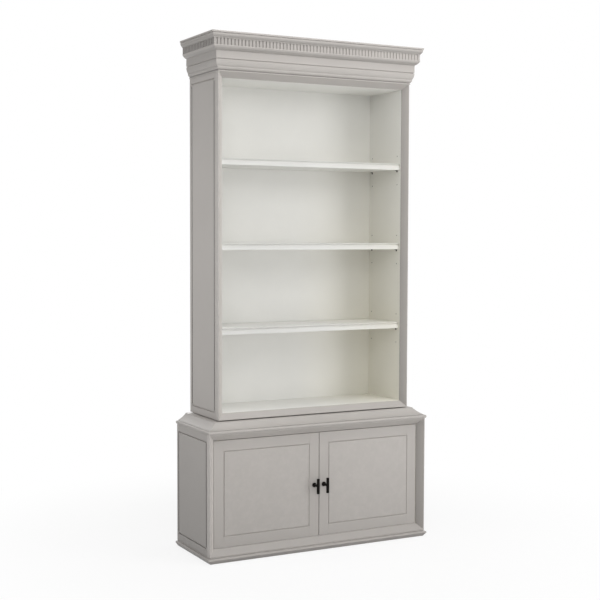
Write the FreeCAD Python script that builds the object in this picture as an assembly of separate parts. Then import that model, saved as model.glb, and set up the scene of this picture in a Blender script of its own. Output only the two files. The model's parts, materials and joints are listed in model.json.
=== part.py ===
import FreeCAD, Part
import math
import os

# Painted bookcase: an open upper case with adjustable shelves and a dentil cornice, standing on a
# deeper base cabinet with two inset doors. Millimetres; +X to the viewer's right, the front faces -Y,
# +Z up. The origin is on the floor, at the middle of the overall width and depth.

# Base cabinet
BASE_W = 1062.0
BASE_D = 354.0
BASE_H = 586.0
BASE_WALL = 28.0
BASE_FRAME_D = 28.0
BASE_TOP_T = 26.0
TOP_RAIL_D = 38.0
BACK_RAIL_D = 26.0

# Upper case, which stands back from the front and the sides of the base; it stands on its bottom board,
# so that a narrow gap runs round its foot
LEDGE_FRONT = 52.0
LEDGE_SIDE = 63.0
UPPER_WALL = 27.0
FOOT_GAP = 4.0
UPPER_CLEAR_H = 1401.0
UPPER_FRAME_D = 25.0

# Bevelled frames round both openings
FRAME_LAND = 3.0
FRAME_EDGE = 2.0

# Back panels and the rebates that hold them
BACK_T = 9.0
REBATE_W = 13.0

# Grooved rectangle on the outside of each case side
SIDE_GROOVE_W = 5.5
SIDE_GROOVE_FLOOR = 4.5
SIDE_GROOVE_DEPTH = 4.5
UPPER_GROOVE_FRONT = 43.0
UPPER_GROOVE_BACK = 23.0
UPPER_GROOVE_END = 31.0
BASE_GROOVE_FRONT = 37.0
BASE_GROOVE_BACK = 17.0
BASE_GROOVE_END = 33.0

# Adjustable shelves
SHELF_COUNT = 3
SHELF_T = 28.0
SHELF_SETBACK = 8.0
SHELF_END_GAP = 1.0
SHELF_BACK_GAP = 2.0
NOSING_FILLET_H = 2.0
NOSING_COVE_H = 9.0
NOSING_COVE_DEPTH = 6.0
NOSING_BAND_IN = 1.0
CABINET_SHELF_T = 22.0
CABINET_SHELF_SETBACK = 58.0

# Shelf pins and their holes
PIN_R = 2.5
PIN_HOLE_CLEARANCE = 0.05
PIN_HOLE_DEPTH = 13.0
PIN_DEPTH = 12.0
PIN_PITCH = 64.0
PIN_FRONT_INSET = 30.0
PIN_BACK_INSET = 24.0
PIN_FLAT_COUNT = 12
PIN_PLATE_W = 9.0
PIN_PLATE_H = 9.0
PIN_PLATE_T = 1.5
PIN_TONGUE_L = 9.0
PIN_TONGUE_T = 2.0
PIN_RISE = 1.0
PIN_CLIP = 2.0
PIN_SEAT_GAP = 0.2

# Cornice, heights from the bottom up and projections from the face of the upper case
BED_LAP = 4.0
BED_FOOT_H = 4.0
BED_QUIRK_H = 2.0
BED_BEAD_H = 16.0
BED_TORUS_H = 26.0
BED_GROOVE_H = 3.0
BED_FASCIA_H = 32.5
BED_OVOLO_H = 17.5
BED_FILLET_H = 2.5
BED_FOOT_P = 3.0
BED_QUIRK_P = 1.0
BED_BEAD_P = 7.5
BED_TORUS_P = 9.0
BED_FASCIA_P = 16.0
BED_GROOVE_P = 12.5
BED_OVOLO_P = 35.0
DENTIL_H = 26.5
DENTIL_P = 33.0
DENTIL_RELIEF = 5.0
DENTIL_PITCH = 16.0
DENTIL_TOOTH = 10.0
CAP_SOFFIT_H = 4.0
CAP_OVOLO_H = 8.5
CAP_BAND_H = 8.0
CAP_QUIRK_H = 1.5
CAP_FILLET_H = 7.0
CAP_SOFFIT_P = 35.0
CAP_OVOLO_P = 43.5
CAP_QUIRK_P = 42.5
CAP_P = 46.0
DUST_BOARD_T = 12.0

# Surbase, the moulded lipping round the base top: heights down from the top, projections from the base
SURBASE_W = 47.0
SURBASE_LEDGE_IN = 40.0
SURBASE_LEDGE_H = 2.0
SURBASE_COVE_IN = 3.0
SURBASE_COVE_H = 27.5
SURBASE_QUIRK_IN = 6.0
SURBASE_QUIRK_H = 1.5
SURBASE_NOSE_IN = 1.0
SURBASE_NOSE_P = 6.0
SURBASE_NOSE_H = 6.5
SURBASE_RETURN_H = 7.5

# Plinth moulding, heights up from the floor and projections from the base
PLINTH_W = 40.0
PLINTH_FOOT_IN = 3.0
PLINTH_UNDERCUT_H = 15.0
PLINTH_NOSE_P = 9.0
PLINTH_NOSE_H = 10.0
PLINTH_QUIRK_IN = 3.0
PLINTH_QUIRK_H = 3.0
PLINTH_BACK_D = 22.0

# Doors
DOOR_T = 20.0
DOOR_GAP = 2.5
DOOR_BOTTOM_GAP = 1.0
DOOR_MEETING_GAP = 3.0
DOOR_FRAME_W = 47.0
PANEL_CHAMFER = 2.5
PANEL_GAP = 0.6
PANEL_TONGUE_L = 8.0
PANEL_TONGUE_T = 6.0
PANEL_TONGUE_DEPTH = 9.0
PANEL_EXPANSION = 1.0

# Door pivots
PIVOT_INSET = 25.0
PIVOT_R = 3.0
PIVOT_CLEARANCE = 0.05
PIVOT_IN_BOARD = 12.0
PIVOT_IN_DOOR = 10.0
PIVOT_HOLE_EXTRA = 1.0
PIVOT_COLLAR_R = 7.0
PIVOT_COLLAR_FLATS = 6
PIVOT_COLLAR_GAP = 0.3

# Knobs
KNOB_INSET = 22.0
KNOB_Z = 282.0
KNOB_ROSE_R = 9.0
KNOB_ROSE_T = 4.0
KNOB_STEM_R = 4.5
KNOB_REACH = 36.0
KNOB_BAR_R = 5.5
KNOB_BAR_L = 66.0

# Magnetic catches and strike plates
CATCH_X = 27.0
CATCH_W = 40.0
CATCH_H = 13.0
CATCH_D = 14.0
CATCH_CHAMFER = 2.0
CATCH_GAP = 0.5
STRIKE_W = 30.0
STRIKE_H = 16.0
STRIKE_T = 1.2
STRIKE_DROP = 2.0

# Places worked out from the sizes above, y measured forward from the back plane
V = FreeCAD.Vector
OUT = "parts"
UPPER_W = BASE_W - 2 * LEDGE_SIDE
UPPER_D = BASE_D - LEDGE_FRONT
OVERALL_D = max(BASE_D + PLINTH_NOSE_P, BASE_D - BASE_FRAME_D + KNOB_REACH + KNOB_BAR_R)
BACK_Y = OVERALL_D / 2
PLINTH_H = PLINTH_UNDERCUT_H + PLINTH_NOSE_H + PLINTH_QUIRK_H
SURBASE_H = SURBASE_LEDGE_H + SURBASE_COVE_H + SURBASE_QUIRK_H + SURBASE_NOSE_H + SURBASE_RETURN_H
BED_H = (BED_FOOT_H + BED_QUIRK_H + BED_BEAD_H + BED_TORUS_H + BED_GROOVE_H
         + BED_FASCIA_H + BED_OVOLO_H + BED_FILLET_H)
CAP_H = CAP_SOFFIT_H + CAP_OVOLO_H + CAP_BAND_H + CAP_QUIRK_H + CAP_FILLET_H
BASE_CASE_TOP = BASE_H - SURBASE_H
BASE_FLOOR = PLINTH_H + BASE_WALL
BASE_OPENING_TOP = BASE_CASE_TOP - BASE_WALL
BASE_IN = BASE_W / 2 - BASE_WALL
UPPER_IN = UPPER_W / 2 - UPPER_WALL
UPPER_FOOT = BASE_H + FOOT_GAP
UPPER_FLOOR = UPPER_FOOT + UPPER_WALL
UPPER_CEILING = UPPER_FLOOR + UPPER_CLEAR_H
CORNICE_Z = UPPER_CEILING + UPPER_WALL
BED_Z = CORNICE_Z - BED_LAP
DENTIL_Z = BED_Z + BED_H
CAP_Z = DENTIL_Z + DENTIL_H
TOTAL_H = CAP_Z + CAP_H
DUST_BOARD_Z = TOTAL_H - DUST_BOARD_T
UPPER_BOARD_D = UPPER_D - UPPER_FRAME_D
DOOR_FACE_D = BASE_D - BASE_FRAME_D
DOOR_BACK_D = DOOR_FACE_D - DOOR_T
BASE_BOARD_D = BASE_D - max(BASE_WALL, BASE_FRAME_D)
DOOR_BOTTOM = BASE_FLOOR + DOOR_BOTTOM_GAP
DOOR_TOP = BASE_OPENING_TOP - DOOR_GAP
DOOR_HINGE_X = BASE_IN - DOOR_GAP
DOOR_MEETING_X = DOOR_MEETING_GAP / 2
PIVOT_X = DOOR_HINGE_X - PIVOT_INSET
PIVOT_D = DOOR_FACE_D - DOOR_T / 2
SHELF_CLEAR = (UPPER_CLEAR_H - SHELF_COUNT * SHELF_T) / (SHELF_COUNT + 1)
QUARTER = math.tan(math.radians(90) / 4) / 2


def y_at(depth):
    """Y of a plane that lies a given depth forward of the back of the bookcase."""
    return BACK_Y - depth


def box(x0, x1, depth0, depth1, z0, z1):
    """Plain board between two X planes, two depths and two heights."""
    corner = V(x0, y_at(depth1), z0)
    return Part.makeBox(x1 - x0, depth1 - depth0, z1 - z0, corner)


def rod(centre, axis, radius, length):
    """Round bar from a centre point along an axis."""
    return Part.makeCylinder(radius, length, centre, axis)


def section(*points):
    """Closed face in the XZ plane. Each point is (x, z), or (x, z, bulge) when an arc leads to it:
    bulge is the arc's height over its chord, positive on the left of the way."""
    edges = []
    here = V(points[-1][0], 0, points[-1][1])
    for point in points:
        there = V(point[0], 0, point[1])
        if len(point) == 3:
            chord = there - here
            via = (here + there) * 0.5 + V(-chord.z, 0, chord.x) * point[2]
            edges.append(Part.Arc(here, via, there).toShape())
        else:
            edges.append(Part.LineSegment(here, there).toShape())
        here = there
    return Part.Face(Part.Wire(edges))


def upright(run, rise):
    """Bulge of an arc over a run and a rise, upright at the end that projects most."""
    return math.tan(math.atan2(run, rise) / 2) / 2


def prism(corners, height):
    """Solid over a polygon of (x, y, z) corners, raised along a vector."""
    loop = [V(*corner) for corner in corners]
    return Part.Face(Part.makePolygon(loop + loop[:1])).extrude(height)


def polygon(flats, radius):
    """Corners of a regular polygon round (0, 0), as pairs, with a flat at the side."""
    turns = [2 * math.pi * (index + 0.5) / flats for index in range(flats)]
    return [(radius * math.cos(turn), radius * math.sin(turn)) for turn in turns]


def taper(loops):
    """Solid with flat sides between two loops of corners."""
    return Part.makeLoft([Part.makePolygon(loop + loop[:1]) for loop in loops], True, True)


def mirrored(shape):
    """The same piece on the other side of the middle plane."""
    return shape.mirror(V(0, 0, 0), V(1, 0, 0))


def save(name, *shapes):
    """Writes one named piece, or a group of like pieces, to its own file."""
    solids = [solid for shape in shapes for solid in shape.Solids]
    result = solids[0] if len(solids) == 1 else Part.makeCompound(solids)
    result.exportStep(os.path.join(OUT, name + ".step"))


def save_pair(name, right):
    """Writes a piece of the right side and its mirror image on the left."""
    save(name + "_right", right)
    save(name + "_left", mirrored(right))


# Mouldings that run round the front and both sides, mitred at the front corners

def wrap(face, width, depth, reach_in, reach_out):
    """Front run and right run of a moulding round a case of a given width and depth.
    The face's x is the projection from the case, and its z is the height."""
    half = width / 2
    front = y_at(depth)
    box_z = face.BoundBox
    height = V(0, 0, box_z.ZLength)
    z = box_z.ZMin
    inner_x, outer_x = half - reach_in, half + reach_out
    inner_y, outer_y = front + reach_in, front - reach_out
    front_room = prism([(-inner_x, inner_y, z), (inner_x, inner_y, z),
                        (outer_x, outer_y, z), (-outer_x, outer_y, z)], height)
    right_room = prism([(inner_x, BACK_Y, z), (inner_x, inner_y, z),
                        (outer_x, outer_y, z), (outer_x, BACK_Y, z)], height)
    ahead = face.copy()
    ahead.rotate(V(0, 0, 0), V(0, 0, 1), -90)
    ahead.translate(V(-outer_x, front, 0))
    aside = face.copy()
    aside.translate(V(half, outer_y, 0))
    front_run = ahead.extrude(V(2 * outer_x, 0, 0)).common(front_room)
    right_run = aside.extrude(V(0, BACK_Y - outer_y, 0)).common(right_room)
    return front_run, right_run


def save_wrap(name, front_run, right_run):
    """Writes the three runs of a moulding."""
    save(name + "_front", front_run)
    save_pair(name, right_run)


def bed_section():
    """Bed moulding: foot, quirk, bead, torus, groove, flat fascia and ovolo under the dentils."""
    z_foot = BED_Z + BED_FOOT_H
    z_quirk = z_foot + BED_QUIRK_H
    z_bead = z_quirk + BED_BEAD_H
    z_torus = z_bead + BED_TORUS_H
    z_fascia = z_torus + BED_GROOVE_H
    z_ovolo = z_fascia + BED_FASCIA_H
    z_fillet = z_ovolo + BED_OVOLO_H
    torus = upright(BED_FASCIA_P - BED_TORUS_P, BED_TORUS_H)
    ovolo = upright(BED_OVOLO_P - BED_FASCIA_P, BED_OVOLO_H)
    return section((0, BED_Z), (BED_FOOT_P, BED_Z), (BED_FOOT_P, z_foot),
                   (BED_QUIRK_P, z_foot), (BED_QUIRK_P, z_quirk),
                   (BED_BEAD_P, z_bead, -QUARTER), (BED_TORUS_P, z_bead),
                   (BED_FASCIA_P, z_torus, -torus), (BED_GROOVE_P, z_torus),
                   (BED_GROOVE_P, z_fascia), (BED_FASCIA_P, z_fascia),
                   (BED_FASCIA_P, z_ovolo), (BED_OVOLO_P, z_fillet, -ovolo),
                   (BED_OVOLO_P, DENTIL_Z), (0, DENTIL_Z))


def cap_section():
    """Cap moulding: flat soffit over the dentils, ovolo, upright band, quirk and square top fillet."""
    z_ovolo = CAP_Z + CAP_SOFFIT_H
    z_band = z_ovolo + CAP_OVOLO_H
    z_quirk = z_band + CAP_BAND_H
    z_fillet = z_quirk + CAP_QUIRK_H
    ovolo = upright(CAP_OVOLO_P - CAP_SOFFIT_P, CAP_OVOLO_H)
    return section((0, CAP_Z), (CAP_SOFFIT_P, CAP_Z), (CAP_SOFFIT_P, z_ovolo),
                   (CAP_OVOLO_P, z_band, -ovolo), (CAP_OVOLO_P, z_quirk), (CAP_QUIRK_P, z_quirk),
                   (CAP_QUIRK_P, z_fillet), (CAP_P, z_fillet), (CAP_P, TOTAL_H), (0, TOTAL_H))


def surbase_section():
    """Lipping of the base top: ledge, shallow cove, quirk, rounded nose and return, hooked over the sides."""
    z_cove = BASE_H - SURBASE_LEDGE_H
    z_quirk = z_cove - SURBASE_COVE_H
    z_nose = z_quirk - SURBASE_QUIRK_H
    z_return = z_nose - SURBASE_NOSE_H
    z_board = BASE_H - BASE_TOP_T
    nose = upright(SURBASE_NOSE_IN + SURBASE_NOSE_P, SURBASE_NOSE_H)
    tuck = upright(SURBASE_NOSE_P, SURBASE_RETURN_H)
    return section((-SURBASE_W, z_board), (-SURBASE_W, BASE_H), (-SURBASE_LEDGE_IN, BASE_H),
                   (-SURBASE_LEDGE_IN, z_cove), (-SURBASE_COVE_IN, z_quirk, -QUARTER / 4),
                   (-SURBASE_QUIRK_IN, z_quirk), (-SURBASE_QUIRK_IN, z_nose), (-SURBASE_NOSE_IN, z_nose),
                   (SURBASE_NOSE_P, z_return, nose), (0, BASE_CASE_TOP, tuck),
                   (-BASE_WALL, BASE_CASE_TOP), (-BASE_WALL, z_board))


def plinth_section():
    """Plinth moulding: undercut foot, rounded nose and a quirk under the case."""
    z_nose = PLINTH_UNDERCUT_H
    z_quirk = z_nose + PLINTH_NOSE_H
    nose = upright(PLINTH_NOSE_P, PLINTH_NOSE_H)
    return section((-PLINTH_W, 0), (-PLINTH_FOOT_IN, 0), (PLINTH_NOSE_P, z_nose),
                   (0, z_quirk, -nose), (-PLINTH_QUIRK_IN, z_quirk),
                   (-PLINTH_QUIRK_IN, PLINTH_H), (-PLINTH_W, PLINTH_H))


def dentil_gaps(length):
    """Starts of the slots between teeth, from the front corner, so that both ends keep a full tooth."""
    count = max(2, round(length / DENTIL_PITCH))
    pitch = (length - DENTIL_TOOTH) / (count - 1)
    starts = [index * pitch + DENTIL_TOOTH for index in range(count - 1)]
    return starts, pitch - DENTIL_TOOTH


def dentil_runs():
    """Strips of square teeth under the cap, with a tooth at each corner."""
    face = section((0, DENTIL_Z), (DENTIL_P, DENTIL_Z), (DENTIL_P, CAP_Z), (0, CAP_Z))
    front_run, right_run = wrap(face, UPPER_W, UPPER_D, 0, DENTIL_P)
    half = UPPER_W / 2 + DENTIL_P
    front = y_at(UPPER_D + DENTIL_P)
    starts, slot = dentil_gaps(2 * half)
    slots = [Part.makeBox(slot, DENTIL_RELIEF, DENTIL_H, V(start - half, front, DENTIL_Z))
             for start in starts]
    starts, slot = dentil_gaps(UPPER_D + DENTIL_P)
    side_slots = [Part.makeBox(DENTIL_RELIEF, slot, DENTIL_H,
                               V(half - DENTIL_RELIEF, front + start, DENTIL_Z)) for start in starts]
    return front_run.cut(Part.makeCompound(slots)), right_run.cut(Part.makeCompound(side_slots))


def build_mouldings():
    save_wrap("cornice_bed", *wrap(bed_section(), UPPER_W, UPPER_D, 0, BED_OVOLO_P))
    save_wrap("cornice_dentils", *dentil_runs())
    save_wrap("cornice_cap", *wrap(cap_section(), UPPER_W, UPPER_D, 0, CAP_P))
    save_wrap("surbase", *wrap(surbase_section(), BASE_W, BASE_D, SURBASE_W, SURBASE_NOSE_P))
    save_wrap("plinth", *wrap(plinth_section(), BASE_W, BASE_D, PLINTH_W, PLINTH_NOSE_P))
    inner = BASE_W / 2 - PLINTH_W
    save("plinth_back", box(-inner, inner, 0, PLINTH_BACK_D, 0, PLINTH_H))


# Mitred frames with a bevel that falls back to the opening

def frame_members(width, wall, front_depth, frame_depth, z0, z1):
    """Right stile, bottom rail and top rail of a bevelled frame round an opening."""
    half = width / 2
    front = y_at(front_depth)
    back = y_at(front_depth - frame_depth)
    through = V(0, back - front, 0)
    stile = prism([(half, front, z0), (half, back, z0), (half - wall, back, z0),
                   (half - wall, back - FRAME_EDGE, z0), (half - FRAME_LAND, front, z0)],
                  V(0, 0, z1 - z0))
    stile_room = prism([(half, front, z0), (half, front, z1), (half - wall, front, z1 - wall),
                        (half - wall, front, z0 + wall)], through)
    rail = prism([(-half, front, z0), (-half, back, z0), (-half, back, z0 + wall),
                  (-half, back - FRAME_EDGE, z0 + wall), (-half, front, z0 + FRAME_LAND)],
                 V(width, 0, 0))
    rail_room = prism([(-half, front, z0), (half, front, z0), (half - wall, front, z0 + wall),
                       (wall - half, front, z0 + wall)], through)
    bottom_rail = rail.common(rail_room)
    top_rail = bottom_rail.mirror(V(0, 0, (z0 + z1) / 2), V(0, 0, 1))
    return stile.common(stile_room), bottom_rail, top_rail


def build_frames():
    upper = frame_members(UPPER_W, UPPER_WALL, UPPER_D, UPPER_FRAME_D, UPPER_FOOT, CORNICE_Z)
    base = frame_members(BASE_W, BASE_WALL, BASE_D, BASE_FRAME_D, PLINTH_H, BASE_CASE_TOP)
    for name, (stile, bottom_rail, top_rail) in (("upper_frame", upper), ("base_frame", base)):
        save_pair(name, stile)
        save(name + "_bottom", bottom_rail)
        save(name + "_top", top_rail)


# Shelf pins, their holes and the shelves that lie on them

def shelf_undersides():
    """Heights of the upper shelves' undersides, spaced evenly from the floor of the case up."""
    step = SHELF_CLEAR + SHELF_T
    return [UPPER_FLOOR + SHELF_CLEAR + index * step for index in range(SHELF_COUNT)]


def pin_height(underside):
    """Height of the pin axis under a shelf."""
    return underside - PIN_SEAT_GAP - PIN_RISE


UPPER_PIN_DEPTHS = (BACK_T + PIN_BACK_INSET, UPPER_BOARD_D - PIN_FRONT_INSET)
CABINET_SHELF_FRONT = BASE_BOARD_D - CABINET_SHELF_SETBACK
BASE_PIN_DEPTHS = (BACK_T + PIN_BACK_INSET, CABINET_SHELF_FRONT - PIN_FRONT_INSET)
CABINET_UNDERSIDE = (BASE_FLOOR + BASE_OPENING_TOP - CABINET_SHELF_T) / 2
UPPER_PIN_HEIGHTS = [pin_height(underside) for underside in shelf_undersides()]
BASE_PIN_HEIGHTS = [pin_height(CABINET_UNDERSIDE)]


def peg(x_wall, depth, height, radius, length):
    """Peg, or the hole that takes it, into a right side: a prism with a few flats."""
    y = y_at(depth)
    return prism([(x_wall, y + across, height + up) for across, up in polygon(PIN_FLAT_COUNT, radius)],
                 V(length, 0, 0))


def bore(x_wall, depth, height, radius, length):
    """Round hole into a right side."""
    return rod(V(x_wall, y_at(depth), height), V(1, 0, 0), radius, length)


def pin_holes(x_wall, depths, heights, spare):
    """Blind holes at each pin place of a right side: one for the peg, spare ones above and below."""
    radius = PIN_R + PIN_HOLE_CLEARANCE
    return [drill(x_wall, depth, height + step, radius, PIN_HOLE_DEPTH)
            for depth in depths for height in heights
            for drill, step in ((peg, 0), (spare, -PIN_PITCH), (spare, PIN_PITCH))]


def shelf_pin(x_wall, depth, height):
    """Pin in a right side: peg, a plate against the side and a flat tongue that carries the shelf."""
    y = y_at(depth)
    half = PIN_PLATE_W / 2
    clipped = half - PIN_CLIP
    top = height + PIN_RISE
    foot = top - PIN_PLATE_H
    tip = x_wall - PIN_TONGUE_L
    plate = prism([(x_wall, y - half, top), (x_wall, y - half, foot + PIN_CLIP),
                   (x_wall, y - clipped, foot), (x_wall, y + clipped, foot),
                   (x_wall, y + half, foot + PIN_CLIP), (x_wall, y + half, top)],
                  V(-PIN_PLATE_T, 0, 0))
    tongue = prism([(x_wall, y - half, top), (tip + PIN_CLIP, y - half, top),
                    (tip, y - clipped, top), (tip, y + clipped, top),
                    (tip + PIN_CLIP, y + half, top), (x_wall, y + half, top)],
                   V(0, 0, -PIN_TONGUE_T))
    shank = peg(x_wall, depth, height, PIN_R, PIN_DEPTH)
    return shank.fuse([plate, tongue]).removeSplitter()


def shelf_pins(x_wall, depths, heights):
    """Pins on both sides for every shelf of a case."""
    right = [shelf_pin(x_wall, depth, height) for depth in depths for height in heights]
    return right + [mirrored(pin) for pin in right]


def moulded_shelf(underside):
    """Upper shelf: fillet over a cove, then a flat band, along its front edge."""
    half = UPPER_IN - SHELF_END_GAP
    back = BACK_T + SHELF_BACK_GAP
    front = UPPER_BOARD_D - SHELF_SETBACK
    top = underside + SHELF_T
    z_cove = top - NOSING_FILLET_H
    z_band = z_cove - NOSING_COVE_H
    band = front - NOSING_BAND_IN
    face = section((back, underside), (band, underside), (band, z_band),
                   (front - NOSING_COVE_DEPTH, z_band), (front, z_cove, QUARTER),
                   (front, top), (back, top))
    face.rotate(V(0, 0, 0), V(0, 0, 1), -90)
    face.translate(V(-half, BACK_Y, 0))
    return face.extrude(V(2 * half, 0, 0))


def build_shelves():
    for index, underside in enumerate(shelf_undersides()):
        save("shelf_%d" % (index + 1), moulded_shelf(underside))
    half = BASE_IN - SHELF_END_GAP
    save("cabinet_shelf", box(-half, half, BACK_T + SHELF_BACK_GAP, CABINET_SHELF_FRONT,
                              CABINET_UNDERSIDE, CABINET_UNDERSIDE + CABINET_SHELF_T))
    save("upper_shelf_pins", *shelf_pins(UPPER_IN, UPPER_PIN_DEPTHS, UPPER_PIN_HEIGHTS))
    save("cabinet_shelf_pins", *shelf_pins(BASE_IN, BASE_PIN_DEPTHS, BASE_PIN_HEIGHTS))


# Case boards

def side_groove(x_face, depth0, depth1, z0, z1):
    """Tapered groove along a rectangle on an outer face: a wide frustum less the panel inside it."""
    y0, y1 = y_at(depth1), y_at(depth0)
    floor = x_face - SIDE_GROOVE_DEPTH

    def frustum(face_grow, floor_grow):
        return taper([[V(x, y0 - grow, z0 - grow), V(x, y1 + grow, z0 - grow),
                       V(x, y1 + grow, z1 + grow), V(x, y0 - grow, z1 + grow)]
                      for x, grow in ((x_face, face_grow), (floor, floor_grow))])
    outer = frustum(SIDE_GROOVE_W / 2, SIDE_GROOVE_FLOOR / 2)
    return outer.cut(frustum(-SIDE_GROOVE_W / 2, -SIDE_GROOVE_FLOOR / 2))


def case_side(half, wall, board_depth, z0, z1, groove, holes):
    """Right side of a case: rebate for the back panel, grooved outer face and shelf pin holes."""
    inner = half - wall
    board = box(inner, half, 0, board_depth, z0, z1)
    rebate = box(inner, inner + REBATE_W, 0, BACK_T, z0, z1)
    return board.cut([rebate, groove] + holes)


def back_panel(inner, z0, z1):
    """Back panel that lies in the rebates of both sides."""
    return box(-inner - REBATE_W, inner + REBATE_W, 0, BACK_T, z0, z1)


def build_upper_case():
    half = UPPER_W / 2
    groove = side_groove(half, UPPER_GROOVE_BACK, UPPER_D - UPPER_GROOVE_FRONT,
                         UPPER_FOOT + UPPER_GROOVE_END, CORNICE_Z - UPPER_GROOVE_END)
    holes = pin_holes(UPPER_IN, UPPER_PIN_DEPTHS, UPPER_PIN_HEIGHTS, bore)
    save_pair("upper_side", case_side(half, UPPER_WALL, UPPER_BOARD_D, UPPER_FOOT, DUST_BOARD_Z,
                                      groove, holes))
    save("upper_back_panel", back_panel(UPPER_IN, UPPER_FOOT, DUST_BOARD_Z))
    save("upper_bottom_board", box(-UPPER_IN, UPPER_IN, BACK_T, UPPER_BOARD_D, BASE_H, UPPER_FLOOR))
    save("upper_top_board", box(-UPPER_IN, UPPER_IN, BACK_T, UPPER_BOARD_D, UPPER_CEILING, CORNICE_Z))
    save("upper_frieze_board", box(-half, half, UPPER_BOARD_D, UPPER_D, CORNICE_Z, DUST_BOARD_Z))
    save("cornice_dust_board", box(-half, half, 0, UPPER_D, DUST_BOARD_Z, TOTAL_H))


def build_base_case():
    half = BASE_W / 2
    board_z = BASE_H - BASE_TOP_T
    groove = side_groove(half, BASE_GROOVE_BACK, BASE_D - BASE_GROOVE_FRONT,
                         PLINTH_H + BASE_GROOVE_END, BASE_CASE_TOP - BASE_GROOVE_END)
    holes = pin_holes(BASE_IN, BASE_PIN_DEPTHS, BASE_PIN_HEIGHTS, peg)
    save_pair("base_side", case_side(half, BASE_WALL, BASE_BOARD_D, PLINTH_H, BASE_CASE_TOP,
                                     groove, holes))
    save("base_back_panel", back_panel(BASE_IN, PLINTH_H, BASE_CASE_TOP))
    top_half = half - SURBASE_W
    save("base_top_board", box(-top_half, top_half, 0, BASE_D - SURBASE_W, board_z, BASE_H))
    rail = box(-BASE_IN, BASE_IN, BASE_BOARD_D - TOP_RAIL_D, BASE_BOARD_D, BASE_OPENING_TOP, board_z)
    floor = box(-BASE_IN, BASE_IN, BACK_T, BASE_BOARD_D, PLINTH_H, BASE_FLOOR)
    depth = PIVOT_IN_BOARD + PIVOT_HOLE_EXTRA
    radius = PIVOT_R + PIVOT_CLEARANCE
    centres = [(side * PIVOT_X, y_at(PIVOT_D)) for side in (-1, 1)]
    save("base_top_rail_front", rail.cut([rod(V(x, y, BASE_OPENING_TOP), V(0, 0, 1), radius, depth)
                                          for x, y in centres]))
    save("base_bottom_board", floor.cut([rod(V(x, y, BASE_FLOOR), V(0, 0, -1), radius, depth)
                                         for x, y in centres]))
    save("base_top_rail_back", box(-BASE_IN, BASE_IN, BACK_T, BACK_T + BACK_RAIL_D,
                                   BASE_OPENING_TOP, board_z))


# Doors and their hardware

def tongue_slot(x0, x1, z0, z1):
    """Slot, or tongue, of the door frame's groove: the same depths behind the face everywhere."""
    front = DOOR_FACE_D - PANEL_TONGUE_DEPTH
    return box(x0, x1, front - PANEL_TONGUE_T, front, z0, z1)


def door_bevel(x0, x1, z0, z1, face_grow):
    """Frustum from the chamfer's depth out to the door's face, where it is grown or shrunk."""
    return taper([[V(x0 - grow, y_at(depth), z0 - grow), V(x1 + grow, y_at(depth), z0 - grow),
                   V(x1 + grow, y_at(depth), z1 + grow), V(x0 - grow, y_at(depth), z1 + grow)]
                  for depth, grow in ((DOOR_FACE_D - PANEL_CHAMFER, 0), (DOOR_FACE_D, face_grow))])


def door_pieces():
    """Stiles, rails and panel of the right door: grooved frame, stub tenons and a flush panel,
    with a V joint between the chamfers of the frame and of the panel."""
    x0, x3 = DOOR_MEETING_X, DOOR_HINGE_X
    x1, x2 = x0 + DOOR_FRAME_W, x3 - DOOR_FRAME_W
    z0, z3 = DOOR_BOTTOM, DOOR_TOP
    z1, z2 = z0 + DOOR_FRAME_W, z3 - DOOR_FRAME_W
    slot = PANEL_TONGUE_L + PANEL_EXPANSION
    chamfer = door_bevel(x1, x2, z1, z2, PANEL_CHAMFER)
    meeting = box(x0, x1, DOOR_BACK_D, DOOR_FACE_D, z0, z3)
    meeting = meeting.cut([tongue_slot(x1 - slot, x1, z0, z3), chamfer])
    radius = PIVOT_R + PIVOT_CLEARANCE
    depth = PIVOT_IN_DOOR + PIVOT_HOLE_EXTRA
    y = y_at(PIVOT_D)
    sockets = [rod(V(PIVOT_X, y, z0), V(0, 0, 1), radius, depth),
               rod(V(PIVOT_X, y, z3), V(0, 0, -1), radius, depth)]
    hinge = box(x2, x3, DOOR_BACK_D, DOOR_FACE_D, z0, z3)
    hinge = hinge.cut([tongue_slot(x2, x2 + slot, z0, z3), chamfer] + sockets)
    rails = []
    for low, high, slot_low, slot_high in ((z0, z1, z1 - slot, z1), (z2, z3, z2, z2 + slot)):
        rail = box(x1, x2, DOOR_BACK_D, DOOR_FACE_D, low, high)
        tenons = tongue_slot(x1 - PANEL_TONGUE_L, x2 + PANEL_TONGUE_L, low, high)
        rail = rail.fuse(tenons).cut([tongue_slot(x0, x3, slot_low, slot_high), chamfer])
        rails.append(rail.removeSplitter())
    left, right = x1 + PANEL_GAP, x2 - PANEL_GAP
    low, high = z1 + PANEL_GAP, z2 - PANEL_GAP
    field = box(left, right, DOOR_FACE_D - PANEL_TONGUE_DEPTH - PANEL_TONGUE_T,
                DOOR_FACE_D - PANEL_CHAMFER, low, high)
    tongue = tongue_slot(x1 - PANEL_TONGUE_L, x2 + PANEL_TONGUE_L,
                         z1 - PANEL_TONGUE_L, z2 + PANEL_TONGUE_L)
    panel = field.fuse([door_bevel(left, right, low, high, -PANEL_CHAMFER), tongue]).removeSplitter()
    return {"stile_meeting": meeting, "stile_hinge": hinge, "rail_bottom": rails[0],
            "rail_top": rails[1], "panel": panel}


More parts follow.
